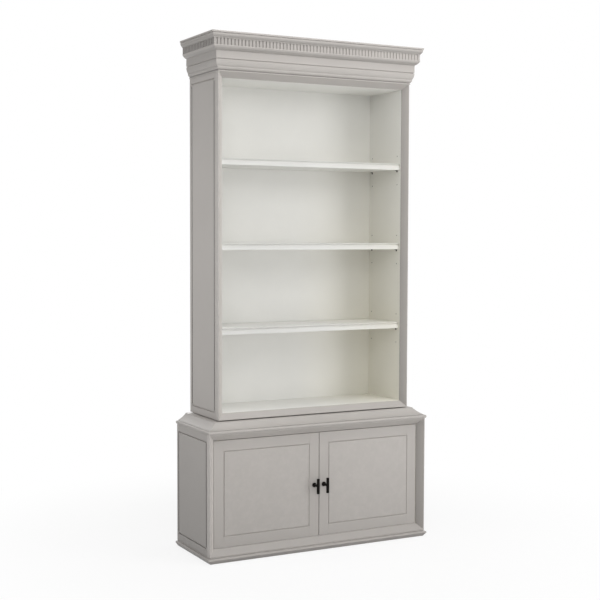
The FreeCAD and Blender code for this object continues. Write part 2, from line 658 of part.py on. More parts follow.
def door_knob():
    """Right T-bar knob: turned rose and stem, with an upright bar that has a flat where the stem ends."""
    seat = KNOB_REACH - math.sqrt(KNOB_BAR_R ** 2 - KNOB_STEM_R ** 2)
    turned = section((0, 0), (KNOB_ROSE_R, 0), (KNOB_ROSE_R, KNOB_ROSE_T), (KNOB_STEM_R, KNOB_ROSE_T),
                     (KNOB_STEM_R, seat), (0, seat))
    stem = turned.revolve(V(0, 0, 0), V(0, 0, 1), 360)
    stem.rotate(V(0, 0, 0), V(1, 0, 0), 90)
    bar = rod(V(0, -KNOB_REACH, -KNOB_BAR_L / 2), V(0, 0, 1), KNOB_BAR_R, KNOB_BAR_L)
    flat = Part.makeBox(2 * KNOB_BAR_R, KNOB_BAR_R, 2 * KNOB_STEM_R, V(-KNOB_BAR_R, -seat, -KNOB_STEM_R))
    knob = stem.fuse(bar.cut(flat)).removeSplitter()
    knob.translate(V(DOOR_MEETING_X + KNOB_INSET, y_at(DOOR_FACE_D), KNOB_Z))
    return knob


def magnet_catch():
    """Right catch under the top rail, with chamfered upright edges."""
    front = DOOR_BACK_D - STRIKE_T - CATCH_GAP
    body = box(CATCH_X - CATCH_W / 2, CATCH_X + CATCH_W / 2, front - CATCH_D, front,
               BASE_OPENING_TOP - CATCH_H, BASE_OPENING_TOP)
    corners = [edge for edge in body.Edges if edge.BoundBox.ZLength > CATCH_H / 2]
    return body.makeChamfer(CATCH_CHAMFER, corners)


def pivot_pins():
    """Pivot pins of the right door: the bottom one has a spanner collar that the door stands on."""
    y = y_at(PIVOT_D)
    length = PIVOT_IN_BOARD + PIVOT_IN_DOOR
    bottom = rod(V(PIVOT_X, y, BASE_FLOOR - PIVOT_IN_BOARD), V(0, 0, 1), PIVOT_R,
                 length + DOOR_BOTTOM_GAP)
    collar = prism([(PIVOT_X + across, y + along, BASE_FLOOR)
                    for across, along in polygon(PIVOT_COLLAR_FLATS, PIVOT_COLLAR_R)],
                   V(0, 0, DOOR_BOTTOM_GAP - PIVOT_COLLAR_GAP))
    top = rod(V(PIVOT_X, y, BASE_OPENING_TOP + PIVOT_IN_BOARD), V(0, 0, -1), PIVOT_R,
              length + DOOR_GAP)
    return [bottom.fuse(collar).removeSplitter(), top]


def build_doors():
    for name, piece in door_pieces().items():
        save("right_door_" + name, piece)
        save("left_door_" + name, mirrored(piece))
    knob = door_knob()
    save("right_door_knob", knob)
    save("left_door_knob", mirrored(knob))
    top = DOOR_TOP - STRIKE_DROP
    strike = box(CATCH_X - STRIKE_W / 2, CATCH_X + STRIKE_W / 2, DOOR_BACK_D - STRIKE_T, DOOR_BACK_D,
                 top - STRIKE_H, top)
    save("right_door_strike", strike)
    save("left_door_strike", mirrored(strike))
    catch = magnet_catch()
    save("magnet_catches", catch, mirrored(catch))
    pins = pivot_pins()
    save("door_pivot_pins", *pins, *[mirrored(pin) for pin in pins])


os.makedirs(OUT, exist_ok=True)
build_mouldings()
build_frames()
build_shelves()
build_upper_case()
build_base_case()
build_doors()
print("overall size", BASE_W + 2 * PLINTH_NOSE_P, OVERALL_D, TOTAL_H)
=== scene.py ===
# %% [markdown]
# # A painted bookcase with cabinet doors
# The real bookcase is joiner's work: a deep base cabinet with two inset doors, a shallower open
# case standing on it, and a cornice with a row of dentils on top. Outside it is painted a warm
# light grey, inside it is white, and the two knobs are black. The construction model brings every
# board in its right place. Here the pieces that catch the light are made again with softened
# arrises, and everything is painted.

# %% Load the frame
import json
import math

import bmesh
import bpy
import numpy as np
from mathutils import Matrix, Vector


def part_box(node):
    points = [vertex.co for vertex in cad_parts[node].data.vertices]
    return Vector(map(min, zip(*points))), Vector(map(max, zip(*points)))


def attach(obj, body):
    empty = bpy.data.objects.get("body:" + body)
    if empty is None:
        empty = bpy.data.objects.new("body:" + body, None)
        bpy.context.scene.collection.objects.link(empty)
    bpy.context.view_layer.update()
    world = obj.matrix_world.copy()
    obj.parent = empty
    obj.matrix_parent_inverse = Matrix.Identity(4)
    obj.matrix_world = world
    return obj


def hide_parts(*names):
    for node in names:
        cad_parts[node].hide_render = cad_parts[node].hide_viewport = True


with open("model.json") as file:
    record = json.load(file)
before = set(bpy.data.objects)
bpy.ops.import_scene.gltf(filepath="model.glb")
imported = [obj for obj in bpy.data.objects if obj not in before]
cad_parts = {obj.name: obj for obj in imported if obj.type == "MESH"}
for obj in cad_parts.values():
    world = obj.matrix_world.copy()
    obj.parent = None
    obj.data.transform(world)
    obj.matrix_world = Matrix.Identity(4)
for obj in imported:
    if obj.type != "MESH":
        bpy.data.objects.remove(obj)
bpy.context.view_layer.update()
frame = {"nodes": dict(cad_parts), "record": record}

NODES = frame["nodes"]
MM = 0.001
print("nodes in the frame:", len(NODES))

# %% [markdown]
# ## The camera
# A photograph fixes a camera completely: where it stood, which way it looked and how long its lens
# was. The bookcase was seen from its front left, from 5.3 metres away, a little above the middle.
# Blender's camera looks down its own -Z axis, so its three axes are worked out from the turn, the
# dip and the slight roll.

# %% Camera
PHOTO_SIDE = 600
FOCAL_PIXELS = 1203.26
SENSOR_WIDTH = 36.0
CAMERA_PLACE = (-2.5136, -4.6880, 1.3719)
CAMERA_TURN = math.radians(27.999)
CAMERA_DIP = math.radians(-3.143)
CAMERA_ROLL = math.radians(-0.171)


def camera_axes(turn, dip, roll):
    """Right, up and backward axes of a camera that looks along +Y when turn and dip are 0."""
    level_share = math.cos(dip)
    ahead = np.array([math.sin(turn) * level_share, math.cos(turn) * level_share, math.sin(dip)])
    level = np.array([math.cos(turn), -math.sin(turn), 0.0])
    down = np.cross(ahead, level)
    right = math.cos(roll) * level + math.sin(roll) * down
    up = math.sin(roll) * level - math.cos(roll) * down
    return right, up, -ahead


lens = bpy.data.cameras.new("photo_lens")
lens.sensor_width = SENSOR_WIDTH
lens.lens = FOCAL_PIXELS * SENSOR_WIDTH / PHOTO_SIDE
camera = bpy.data.objects.new("photo_camera", lens)
bpy.context.scene.collection.objects.link(camera)
axes = np.column_stack(camera_axes(CAMERA_TURN, CAMERA_DIP, CAMERA_ROLL))
camera.matrix_world = Matrix.Translation(CAMERA_PLACE) @ Matrix(axes.tolist()).to_4x4()
bpy.context.scene.camera = camera
bpy.context.scene.view_settings.view_transform = "Standard"
print("lens in millimetres:", round(lens.lens, 2))

# %% [markdown]
# ## White surroundings
# The photograph has even white surroundings. As a lamp, a white world would flatten every shadow,
# so it lights the bookcase only a little; the camera, and mirror-like surfaces, see it at full
# white. A world or a material is a graph of nodes, and two helpers write it: one adds any node and
# connects it, one does a sum.

# %% World
WORLD_LIGHT = 0.1
WHITE = (1.0, 1.0, 1.0, 1.0)


def put(tree, kind, inputs=(), **settings):
    """Adds one shader node, sets its options, and links or sets its named inputs."""
    node = tree.nodes.new(kind)
    for option, value in settings.items():
        setattr(node, option, value)
    for socket, value in dict(inputs).items():
        if isinstance(value, bpy.types.NodeSocket):
            tree.links.new(value, node.inputs[socket])
        else:
            node.inputs[socket].default_value = value
    return node


def calc(tree, operation, first, second):
    """Result socket of one Math node."""
    return put(tree, "ShaderNodeMath", {0: first, 1: second}, operation=operation).outputs[0]


def seen_directly(tree):
    """Socket that is 1 on rays from the camera, off shiny surfaces or through glass, and 0 on
    lighting rays."""
    rays = put(tree, "ShaderNodeLightPath").outputs
    seen = calc(tree, "MAXIMUM", rays["Is Camera Ray"], rays["Is Glossy Ray"])
    return calc(tree, "MAXIMUM", seen, rays["Is Transmission Ray"])


world = bpy.data.worlds.new("white_studio")
world.use_nodes = True
bpy.context.scene.world = world
tree = world.node_tree
lighting = tree.nodes["Background"]
lighting.inputs["Color"].default_value = WHITE
lighting.inputs["Strength"].default_value = WORLD_LIGHT
surroundings = put(tree, "ShaderNodeBackground", {"Color": WHITE})
choice = put(tree, "ShaderNodeMixShader", {0: seen_directly(tree), 1: lighting.outputs[0],
                                           2: surroundings.outputs[0]})
tree.links.new(choice.outputs[0], tree.nodes["World Output"].inputs["Surface"])
print("light from the world:", WORLD_LIGHT)

# %% [markdown]
# ## Studio lamps
# The strongest light comes from the front right: the left side is darker than the front, and so is
# the right half of the inside. The shade under the shelves is weak, so that light also comes from
# low down: two key lamps stand one over the other. A broad lamp in front, one overhead and two at
# the left fill the shadows, and two more light the right side and the back, which the photograph
# doesn't show.

# %% Lamps
UPPER_MIDDLE, WHOLE_MIDDLE = (0.0, 0.0, 1.3), (0.0, 0.0, 1.1)
SMALL_LAMP, BROAD_LAMP = 1.4, 3.0


def soft_lamp(name, place, target, side, watts):
    """Square lamp of a given side, turned from its place towards a target."""
    lamp = bpy.data.lights.new(name, "AREA")
    lamp.size = side
    lamp.energy = watts
    holder = bpy.data.objects.new(name, lamp)
    way = Vector(target) - Vector(place)
    aim = way.to_track_quat("-Z", "Y").to_matrix().to_4x4()
    holder.matrix_world = Matrix.Translation(place) @ aim
    bpy.context.scene.collection.objects.link(holder)
    print(name, "watts", watts)


soft_lamp("key_lamp_high", (2.0, -2.6, 2.9), UPPER_MIDDLE, SMALL_LAMP, watts=20)
soft_lamp("key_lamp_low", (2.2, -2.6, 0.8), UPPER_MIDDLE, SMALL_LAMP, watts=24.3)
soft_lamp("front_fill", (-0.4, -5.4, 1.6), WHOLE_MIDDLE, BROAD_LAMP, watts=34)
soft_lamp("left_fill", (-1.8, -3.0, 2.8), UPPER_MIDDLE, SMALL_LAMP, watts=26.5)
soft_lamp("side_fill", (-1.9, 0.15, 1.4), (-0.5, 0.05, 1.2), side=1.0, watts=9)
soft_lamp("right_fill", (3.6, 1.2, 1.6), (0.5, 0.1, 1.2), side=2.0, watts=40)
soft_lamp("back_fill", (0.6, 4.8, 1.6), WHOLE_MIDDLE, BROAD_LAMP, watts=75)
soft_lamp("top_fill", (0.0, -1.2, 4.2), WHOLE_MIDDLE, BROAD_LAMP, watts=75)

# %% [markdown]
# ## The floor
# A pale floor keeps the object from floating: it takes a soft shadow under the plinth. Further out
# it has to melt into the white surroundings, so to the camera its diffuse white fades, with the
# distance from the bookcase, into plain white. Light that lands on it still bounces up and
# brightens the undersides.

# %% Floor
FLOOR_HALF = 9.0
FLOOR_DROP = 0.0004
FLOOR_WHITE = (0.90, 0.90, 0.90, 1.0)
FLOOR_ROUGHNESS = 0.9
FADE_FROM, FADE_TO = 0.6, 1.9
FLOOR_GLOW = 0.84

floor_mesh = bpy.data.meshes.new("studio_floor")
corners = FLOOR_HALF * np.array([(-1, -1), (1, -1), (1, 1), (-1, 1)])
floor_points = np.column_stack([corners, np.full(4, -FLOOR_DROP)])
floor_mesh.from_pydata(floor_points.tolist(), [], [(0, 1, 2, 3)])
floor = bpy.data.objects.new("studio_floor", floor_mesh)
bpy.context.scene.collection.objects.link(floor)
pale = bpy.data.materials.new("pale_floor")
pale.use_nodes = True
tree = pale.node_tree
matt = tree.nodes["Principled BSDF"]
matt.inputs["Base Color"].default_value = FLOOR_WHITE
matt.inputs["Roughness"].default_value = FLOOR_ROUGHNESS
matt.inputs["Specular IOR Level"].default_value = 0.0
here = put(tree, "ShaderNodeTexCoord").outputs["Object"]
distance = put(tree, "ShaderNodeVectorMath", {0: here}, operation="LENGTH").outputs["Value"]
fade = put(tree, "ShaderNodeMapRange", interpolation_type="SMOOTHSTEP", inputs={
    "Value": distance, "From Min": FADE_FROM, "From Max": FADE_TO, "To Min": FLOOR_GLOW}).outputs[0]
glow = put(tree, "ShaderNodeEmission")
melt = put(tree, "ShaderNodeMixShader", {0: calc(tree, "MULTIPLY", fade, seen_directly(tree)),
                                         1: matt.outputs[0], 2: glow.outputs[0]})
tree.links.new(melt.outputs[0], tree.nodes["Material Output"].inputs["Surface"])
floor_mesh.materials.append(pale)
print("floor", 2 * FLOOR_HALF, "metres across")

# %% [markdown]
# ## Paint colours
# Sprayed and brushed paint is never one flat colour: over a board it drifts a little lighter and
# darker. The white lining carries a painted warm shade at the lower right, and the grey a painted
# shade that darkens it towards the floor. Both follow Object coordinates, which stay with the
# piece when a door opens.

# %% Paint colours
GREY = (0.457, 0.431, 0.407)
CREAM_WHITE = (0.800, 0.795, 0.765)
# painted warm shade: the lining turns creamier towards the lower right
WARM_SHADE_WHITE = (0.815, 0.795, 0.710, 1.0)
DRIFT_DARK, DRIFT_LIGHT = 0.97, 1.03
WARM_SHADE_ACROSS, WARM_SHADE_DOWN = (0.05, 0.42), (2.1, 0.9)
# painted shade: the grey darkens towards the floor
LOW_SHADE_DOWN, LOW_SHADE = (0.45, 0.0), 0.86
# painted shade: the base sides are darker than the upper sides
BASE_SIDE_SHADE = 0.86


def tinted(colour, share):
    """The colour made lighter (share over 1) or darker, as an opaque RGBA value."""
    return tuple(min(1.0, part * share) for part in colour) + (1.0,)


def ramp(tree, value, start, end):
    """Share that grows from 0 to 1 while a value goes from start to end."""
    rise = put(tree, "ShaderNodeMapRange", {"Value": value, "From Min": start, "From Max": end})
    return rise.outputs[0]


def blend_colours(tree, share, first, second):
    """Colour socket between two colours."""
    mix = put(tree, "ShaderNodeMix", {0: share, 6: first, 7: second}, data_type="RGBA")
    return mix.outputs[2]


def fresh(tree, drift, colour):
    """Colour that drifts between a darker and a lighter tone."""
    return blend_colours(tree, drift, tinted(colour, DRIFT_DARK), tinted(colour, DRIFT_LIGHT))


def warm_shaded_lining(tree, place, drift):
    """White of the lining, with a painted warm shade towards the lower right."""
    low_right = calc(tree, "MULTIPLY", ramp(tree, place["X"], *WARM_SHADE_ACROSS),
                     ramp(tree, place["Z"], *WARM_SHADE_DOWN))
    return blend_colours(tree, low_right, fresh(tree, drift, CREAM_WHITE), WARM_SHADE_WHITE)


def shaded_towards_floor(tree, place, drift, colour):
    """Outside colour, darker towards the floor by painted shade."""
    low = ramp(tree, place["Z"], *LOW_SHADE_DOWN)
    return blend_colours(tree, low, fresh(tree, drift, colour), tinted(colour, LOW_SHADE))


print("grey", GREY, "and lining white", CREAM_WHITE)

# %% [markdown]
# ## Boards with two colours
# The sides of both cases are grey outside and white inside. A board's colour can't come from its
# slot alone then, so the paint asks how far each point lies from the middle of the bookcase. The
# drilled holes and the routed groove lie between the inner and the outer plane and see little
# light, so they are darker. The level parts of the groove near the ends of the board catch light
# from above and stay as they are, and so does the rebate for the back panel.

# %% Case sides
RECESS = 0.2 * MM
LEVEL_GROOVE = 38 * MM
REBATE_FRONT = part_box("upper_back_panel")[0].y - RECESS
GROOVE_COVER, GROOVE_TONE = 0.95, 0.12


def between(tree, value, low, high):
    """1 where a value lies between two limits, otherwise 0."""
    over, under = calc(tree, "GREATER_THAN", value, low), calc(tree, "LESS_THAN", value, high)
    return calc(tree, "MULTIPLY", over, under)


def case_side(tree, place, outside, lining, colour, member_box):
    """Colour of a case side, from the box of the frame member before it: lining inside, dark in
    the groove."""
    (inner, _, foot), (outer, _, top) = member_box
    across = calc(tree, "ABSOLUTE", place["X"], 0.0)
    indoors = calc(tree, "LESS_THAN", across, inner + RECESS)
    sunk = calc(tree, "MULTIPLY", between(tree, across, inner + RECESS, outer - RECESS),
                calc(tree, "LESS_THAN", place["Y"], REBATE_FRONT))
    upright_part = between(tree, place["Z"], foot + LEVEL_GROOVE, top - LEVEL_GROOVE)
    shade = calc(tree, "MULTIPLY", calc(tree, "MULTIPLY", sunk, upright_part), GROOVE_COVER)
    board = blend_colours(tree, indoors, outside, lining)
    return blend_colours(tree, shade, board, tinted(colour, GROOVE_TONE))


print("rebate for the back starts at", round(REBATE_FRONT, 4))

# %% [markdown]
# ## Wear, painted highlight and shade, and sheen
# Along the arrises paint is thinner, so the pale undercoat begins to show, while corners that run
# inwards are painted a little darker, as painted shade. Each new piece carries a number on every
# point, its arris value: 1 on an outer edge, -1 in an inner corner, 0 on the flat, over 1 where a
# painted highlight makes it evenly lighter, and under -1 in deeper painted shade. The paint reads
# that number. Its skin has the fine pebbling of a roller, and its sheen varies in patches.

# %% Paint materials
DRIFT_GRAIN = {"Scale": 2.6, "Detail": 5.0, "Roughness": 0.55}
CHIP_GRAIN = {"Scale": 38.0, "Detail": 6.0, "Roughness": 0.7}
SKIN_GRAIN = {"Scale": 420.0, "Detail": 2.0}
DRIFT_RANGE, CHIP_RANGE = (0.3, 0.7), (0.42, 0.66)
# largest share and tone of undercoat wear, painted highlight and painted shade
UNDERCOAT, PAINTED_HIGHLIGHT, PAINTED_SHADE = (0.35, 1.35), (0.3, 1.4), (0.3, 0.35)
SATIN, MATTER, EDGE_POLISH = 0.40, 0.56, 0.06
PAINT_SHINE = 0.35
PEBBLE_STRENGTH, PEBBLE_HEIGHT = 0.16, 0.4 * MM


def noise(tree, here, grain):
    """Value of a noise pattern of a given grain."""
    return put(tree, "ShaderNodeTexNoise", {"Vector": here, **grain}).outputs["Fac"]


def wear_and_painted_light(tree, body, colour, arris, edge, chips):
    """Colour with undercoat in patches along the edges, painted highlight where the arris value is
    over 1 and painted shade where it is below 0. Each kind is a largest share and a tone."""
    worn = calc(tree, "MULTIPLY", edge, ramp(tree, chips, *CHIP_RANGE))
    # painted highlight where the arris value is over 1; painted shade, also in inner corners, below
    # 0
    lightened = calc(tree, "MAXIMUM", calc(tree, "SUBTRACT", arris, 1.0), 0.0)
    corner = calc(tree, "MAXIMUM", calc(tree, "MULTIPLY", arris, -1.0), 0.0)
    for share, (most, tone) in ((worn, UNDERCOAT), (lightened, PAINTED_HIGHLIGHT), (corner, PAINTED_SHADE)):
        body = blend_colours(tree, calc(tree, "MULTIPLY", share, most), body, tinted(colour, tone))
    return body


def paint(name, colour, member_box=None):
    """Satin paint in one colour, or in two for a case side, from its frame member's box."""
    material = bpy.data.materials.new(name)
    material.use_nodes = True
    tree = material.node_tree
    coat = tree.nodes["Principled BSDF"]
    here = put(tree, "ShaderNodeTexCoord").outputs["Object"]
    place = put(tree, "ShaderNodeSeparateXYZ", {0: here}).outputs
    drift = ramp(tree, noise(tree, here, DRIFT_GRAIN), *DRIFT_RANGE)
    chips = noise(tree, here, CHIP_GRAIN)
    if colour == CREAM_WHITE:
        body = warm_shaded_lining(tree, place, drift)
    else:
        body = shaded_towards_floor(tree, place, drift, colour)
    if member_box:
        body = case_side(tree, place, body, warm_shaded_lining(tree, place, drift), colour, member_box)
    arris = put(tree, "ShaderNodeAttribute", attribute_name="arris").outputs["Fac"]
    edge = calc(tree, "MINIMUM", calc(tree, "MAXIMUM", arris, 0.0), 1.0)
    tree.links.new(wear_and_painted_light(tree, body, colour, arris, edge, chips), coat.inputs["Base Color"])
    sheen = put(tree, "ShaderNodeMapRange", {"Value": chips, "To Min": SATIN, "To Max": MATTER})
    polish = calc(tree, "MULTIPLY", edge, EDGE_POLISH)
    tree.links.new(calc(tree, "SUBTRACT", sheen.outputs[0], polish), coat.inputs["Roughness"])
    coat.inputs["Specular IOR Level"].default_value = PAINT_SHINE
    pebbles = put(tree, "ShaderNodeBump", {"Height": noise(tree, here, SKIN_GRAIN),
                                           "Strength": PEBBLE_STRENGTH, "Distance": PEBBLE_HEIGHT})
    tree.links.new(pebbles.outputs[0], coat.inputs["Normal"])
    print("paint", name)
    return material


grey_paint = paint("warm_grey_paint", GREY)
white_paint = paint("white_lining_paint", CREAM_WHITE)
upper_side_paint = paint("upper_side_paint", GREY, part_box("upper_frame_right"))
# the base sides take a darker grey, as painted shade
base_side_paint = paint("base_side_paint", tinted(GREY, BASE_SIDE_SHADE)[:3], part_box("base_frame_right"))

# %% [markdown]
# ## Metal and plastic
# The knobs are cast and finished matt black, with a fine sandy skin. Shelf pins are dark bronze,
# the pivots brass, the strike plates zinc plated.
# One function makes them all: a base colour that drifts, a roughness that drifts with it, and a
# small bump.

# %% Hardware materials
CAST_GRAIN = {"Scale": 60.0, "Detail": 4.0}
CAST_DARK, CAST_LIGHT = 0.8, 1.2
FINE_DETAIL, FINE_HEIGHT = 3.0, 0.3 * MM
ROUGHNESS_SPREAD = 0.08


def hardware(name, colour, worn_colour, metallic, roughness, grain, bump, shine=0.5):
    """Metal or plastic: two tones by noise, worn tone on the arrises, roughness and bump from a
    finer grain."""
    material = bpy.data.materials.new(name)
    material.use_nodes = True
    tree = material.node_tree
    coat = tree.nodes["Principled BSDF"]
    here = put(tree, "ShaderNodeTexCoord").outputs["Object"]
    drift = noise(tree, here, CAST_GRAIN)
    fine = noise(tree, here, {"Scale": grain, "Detail": FINE_DETAIL})
    tone = blend_colours(tree, drift, tinted(colour, CAST_DARK), tinted(colour, CAST_LIGHT))
    arris = put(tree, "ShaderNodeAttribute", attribute_name="arris").outputs["Fac"]
    lightened = calc(tree, "MULTIPLY", calc(tree, "MAXIMUM", arris, 0.0), drift)
    tone = blend_colours(tree, lightened, tone, worn_colour + (1.0,))
    tree.links.new(tone, coat.inputs["Base Color"])
    coat.inputs["Metallic"].default_value = metallic
    coat.inputs["Specular IOR Level"].default_value = shine
    spread = put(tree, "ShaderNodeMapRange", {"Value": fine, "To Min": roughness - ROUGHNESS_SPREAD,
                                              "To Max": roughness + ROUGHNESS_SPREAD})
    tree.links.new(spread.outputs[0], coat.inputs["Roughness"])
    relief = put(tree, "ShaderNodeBump",
                 {"Height": fine, "Strength": bump, "Distance": FINE_HEIGHT})
    tree.links.new(relief.outputs[0], coat.inputs["Normal"])
    print("hardware finish", name)
    return material


black_iron = hardware("matt_black_iron", (0.006, 0.005, 0.004), (0.03, 0.02, 0.014),
                      metallic=0.0, roughness=0.55, grain=900.0, bump=0.3, shine=0.08)
pin_steel = hardware("dark_bronze_pins", (0.055, 0.048, 0.040), (0.16, 0.12, 0.08),
                     metallic=0.7, roughness=0.45, grain=1200.0, bump=0.15)
pivot_brass = hardware("pivot_brass", (0.70, 0.55, 0.28), (0.80, 0.68, 0.42),
                       metallic=1.0, roughness=0.32, grain=1500.0, bump=0.10)
catch_plastic = hardware("catch_plastic", (0.70, 0.69, 0.66), (0.75, 0.74, 0.71),
                         metallic=0.0, roughness=0.45, grain=1500.0, bump=0.10)
strike_steel = hardware("zinc_strike_plate", (0.60, 0.60, 0.60), (0.72, 0.72, 0.72),
                        metallic=1.0, roughness=0.34, grain=1500.0, bump=0.12)

# %% [markdown]
# ## Finishing the boards that stay
# The sides, backs, inner boards and small fittings keep their construction shape, because a
# drilled and grooved board is right as it is. They only change their finish. A case side is grey
# outside and white inside, so it takes the paint with two colours.

# %% Finish on the construction nodes
FINISHES = {"grey_paint": grey_paint, "white_paint": white_paint, "black_iron": black_iron,
            "pin_steel": pin_steel, "pivot_brass": pivot_brass, "catch_plastic": catch_plastic,
            "strike_steel": strike_steel}
SLOT_OF = {part["node"]: part["material_slot"] for part in frame["record"]["subparts"]}
for node, board in NODES.items():
    finish = FINISHES[SLOT_OF[node]]
    if node.startswith("upper_side"):
        finish = upper_side_paint
    if node.startswith("base_side"):
        finish = base_side_paint
    for slot in board.material_slots:
        slot.material = finish
print("finished", len(NODES), "nodes")

# %% [markdown]
# ## Soft arrises
# A joiner takes every sharp edge off with a stroke of sandpaper, and paint rounds it further. That
# thin rounded line is what glints on real furniture. An outline is written as its sharp corners,
# and each corner is then replaced by a short curve between two points a little way along its
# edges.

# %% Outlines with soft corners
SOFT = 1.0 * MM
CURVE_POINTS = 5
LEAST_TURN = 0.35
LONGEST_SHARE = 0.4
LEAST_GAP = 1e-7


def along_edges(corners):
    """Unit direction and length of the edge that leaves each corner of a closed outline."""
    edge = np.roll(corners, -1, 0) - corners
    length = np.linalg.norm(edge, axis=1)
    return edge / length[:, None], length


def soften(corners, radius=SOFT):
    """Closed outline with rounded corners, and the arris value of each point.
    point(t) = (1-t)^2 start + 2t(1-t) corner + t^2 end, where start and end lie a reach before and
    after the corner; the reach is the radius, but at most a share of the shorter edge, and 0 where
    the outline runs on."""
    corners = np.asarray(corners, float)
    following = np.roll(corners, -1, 0)
    area = np.sum(corners[:, 0] * following[:, 1] - corners[:, 1] * following[:, 0]) / 2
    corners = corners if area > 0 else corners[::-1]
    out, out_length = along_edges(corners)
    into, in_length = np.roll(out, 1, 0), np.roll(out_length, 1)
    turn = np.arctan2(into[:, 0] * out[:, 1] - into[:, 1] * out[:, 0], np.sum(into * out, axis=1))
    reach = np.minimum(radius, LONGEST_SHARE * np.minimum(in_length, out_length))
    reach = np.where(np.abs(turn) > LEAST_TURN, reach, 0.0)[:, None, None]
    t = np.linspace(0, 1, CURVE_POINTS)[None, :, None]
    middle = corners[:, None]
    start, end = middle - reach * into[:, None], middle + reach * out[:, None]
    points = ((1 - t) ** 2 * start + 2 * t * (1 - t) * middle + t ** 2 * end).reshape(-1, 2)
    value = (np.sin(np.pi * t) * np.sign(turn)[:, None, None] * (reach > 0)).reshape(-1)
    fresh_point = np.linalg.norm(points - np.roll(points, 1, 0), axis=1) > LEAST_GAP
    return points[fresh_point], value[fresh_point]


def bow(start, end, bulge, points=9):
    """Arc from start to end, whose height over its chord is bulge times the chord, on the left of
    the way. With half angle a = 2 atan(2 bulge): along = chord/2 sin(a s)/sin(a), and
    over = chord/2 (cos(a s)-cos(a))/sin(a)."""
    start, end = np.array(start, float), np.array(end, float)
    half = (end - start) / 2
    left = np.array([-half[1], half[0]])
    angle = 2 * math.atan(2 * bulge)
    s = np.linspace(-1, 1, points)[:, None]
    along = np.sin(angle * s) / math.sin(angle)
    over = (np.cos(angle * s) - math.cos(angle)) / math.sin(angle)
    return ((start + end) / 2 + along * half + over * left).tolist()


QUARTER = math.tan(math.pi / 8) / 2
print("arris radius in millimetres:", SOFT / MM)

# %% [markdown]
# ## From outline to piece
# Most of this bookcase is run by the metre: a moulding plane or router pushes one outline along a
# straight path, and a mitre saw cuts the ends at 45 degrees. The same idea makes the mesh. The
# outline is set up at each end of the run, and where the end is mitred, the outline's first number
# is spent sideways and forwards at once.

# %% Profile carried along a path
SHARP_ANGLE = math.radians(40)
MERGE = 1e-6


def quads(rows, columns):
    """Corner numbers of the quads of a grid that is closed along its columns."""
    row, column = np.mgrid[0:rows - 1, 0:columns]
    following = (column + 1) % columns
    low, high = row * columns, (row + 1) * columns
    corners = [low + column, low + following, high + following, high + column]
    return np.stack(corners, -1).reshape(-1, 4)


def dress(mesh, finish, body, stands_for):
    """Merges doubled points, turns the faces outwards, smooths all but sharp edges, and puts the
    piece on its body."""
    shell = bmesh.new()
    shell.from_mesh(mesh)
    bmesh.ops.remove_doubles(shell, verts=shell.verts, dist=MERGE)
    bmesh.ops.recalc_face_normals(shell, faces=shell.faces)
    shell.to_mesh(mesh)
    shell.free()
    mesh.shade_smooth()
    mesh.set_sharp_from_angle(angle=SHARP_ANGLE)
    mesh.materials.append(finish)
    piece = bpy.data.objects.new(mesh.name, mesh)
    bpy.context.scene.collection.objects.link(piece)
    even = piece.modifiers.new("even_shading", "WEIGHTED_NORMAL")
    even.keep_sharp = True
    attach(piece, body)
    if stands_for:
        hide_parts(*stands_for)


def closed_piece(name, points, arris, finish, body, stands_for=()):
    """Object from a grid of points (rows, columns, xyz): quads between rows, a cap on the first and
    the last."""
    rows, columns = points.shape[:2]
    faces = quads(rows, columns).tolist()
    faces += [list(range(columns))[::-1], list(range((rows - 1) * columns, rows * columns))]
    mesh = bpy.data.meshes.new(name)
    mesh.from_pydata(points.reshape(-1, 3).tolist(), [], faces)
    layer = mesh.attributes.new("arris", "FLOAT", "POINT")
    values = np.broadcast_to(arris, (rows, columns)).astype(np.float32)
    layer.data.foreach_set("value", values.ravel())
    dress(mesh, finish, body, stands_for)


def carry(outline, origins, sides, rise):
    """Grid of points: point(station, k) = origin + first_k * side + second_k * rise.
    The outline is one list of (first, second), or one such list for each station."""
    outline = np.asarray(outline, float)
    outline = np.broadcast_to(outline, (len(origins),) + outline.shape[-2:])
    origins, sides = np.asarray(origins, float), np.asarray(sides, float)
    return (origins[:, None] + outline[:, :, 0, None] * sides[:, None]
            + outline[:, :, 1, None] * np.asarray(rise, float))


print("edges stay sharp over", round(math.degrees(SHARP_ANGLE)), "degrees")

# %% [markdown]
# ## Cornice, surbase and plinth
# Three mouldings go round the front and both sides: the cornice under the top, the surbase where
# the upper case stands on the base, and the plinth at the floor. Each is cut in three runs that
# meet in mitres at the front corners. One function takes the case's size and gives all three runs.
# The side runs carry painted shade that the front doesn't, and where an outline turns under it is
# painted darker still, as painted shade.

# %% Runs of moulding
UP = (0, 0, 1)
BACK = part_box("upper_back_panel")[1].y
RUNS = {"left": (0, 1), "front": (1, 2), "right": (2, 3)}
# painted shade on the side runs of each moulding
RUN_SHADE = {"left": 0.5, "front": 0.0, "right": 0.5}
# painted shade where an outline turns under
DEEP_SHADE, SOFT_SHADE = -1.4, -0.8


def round_the_case(half, front):
    """Stations of a moulding: back left, front left, front right and back right, each with its
    outward direction."""
    origins = [(-half, BACK, 0), (-half, front, 0), (half, front, 0), (half, BACK, 0)]
    sides = [(-1, 0, 0), (-1, -1, 0), (1, -1, 0), (1, 0, 0)]
    return np.array(origins, float), np.array(sides, float)


